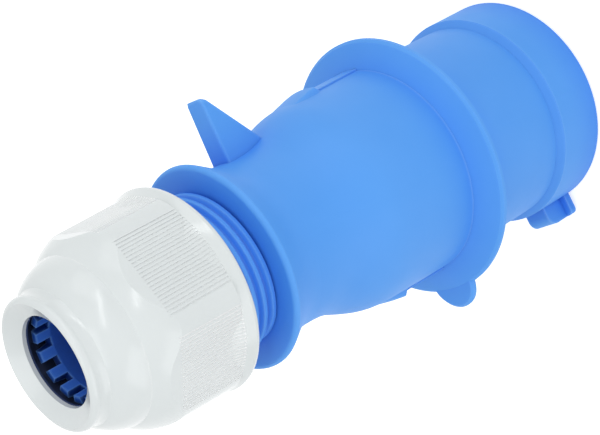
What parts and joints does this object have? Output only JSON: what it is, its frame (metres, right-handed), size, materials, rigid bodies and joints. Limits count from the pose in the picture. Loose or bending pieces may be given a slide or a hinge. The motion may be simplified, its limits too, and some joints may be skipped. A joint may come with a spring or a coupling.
{
  "type": "industrial pin and sleeve plug",
  "caption": "Blue industrial plug with round pins inside an open keyed sleeve, a flange with a retaining lug, a waisted housing with a fin, and a pale cable gland whose ribbed nut turns.",
  "frame": {"origin": "centre of the sleeve's open front rim, in the plane of the rim that the plug stands on", "axes": "+Z along the plug's axis from the open rim to the cable gland, +Y towards the fin, +X completes the right-handed frame"},
  "size_m": [0.0514, 0.057, 0.1186],
  "materials": {
    "body_blue": "satin moulded",
    "nut_grey": "satin moulded",
    "basket_blue": "satin moulded",
    "carrier_grey": "moulded",
    "pin_brass": "turned",
    "screw_steel": "zinc plated",
    "seal_rubber": "moulded"
  },
  "bodies": {
    "plug_body": {"front_sleeve": "body_blue", "contact_carrier": "carrier_grey", "pin_retainer": "carrier_grey", "retainer_screws": "screw_steel", "terminal_screws": "screw_steel", "line_pin": "pin_brass", "neutral_pin": "pin_brass", "earth_pin": "pin_brass", "rear_housing": "body_blue", "cable_seal": "seal_rubber"},
    "clamp": {"clamp_basket": "basket_blue"},
    "nut": {"gland_nut": "nut_grey"}
  },
  "joints": [
    {"name": "gland_travel", "type": "slide", "parent": "plug_body", "child": "clamp", "axis": [0, 0, 1], "range_m": [-0.0041, 0.0081]},
    {"name": "gland_turn", "type": "hinge", "parent": "clamp", "child": "nut", "pos_m": [0, 0, 0.1], "axis": [0, 0, 1], "range_deg": [-720, 1440]}
  ],
  "couplings": [
    {"joint": "gland_travel", "follows": "gland_turn", "m_per_rad": 0.00031831}
  ]
}
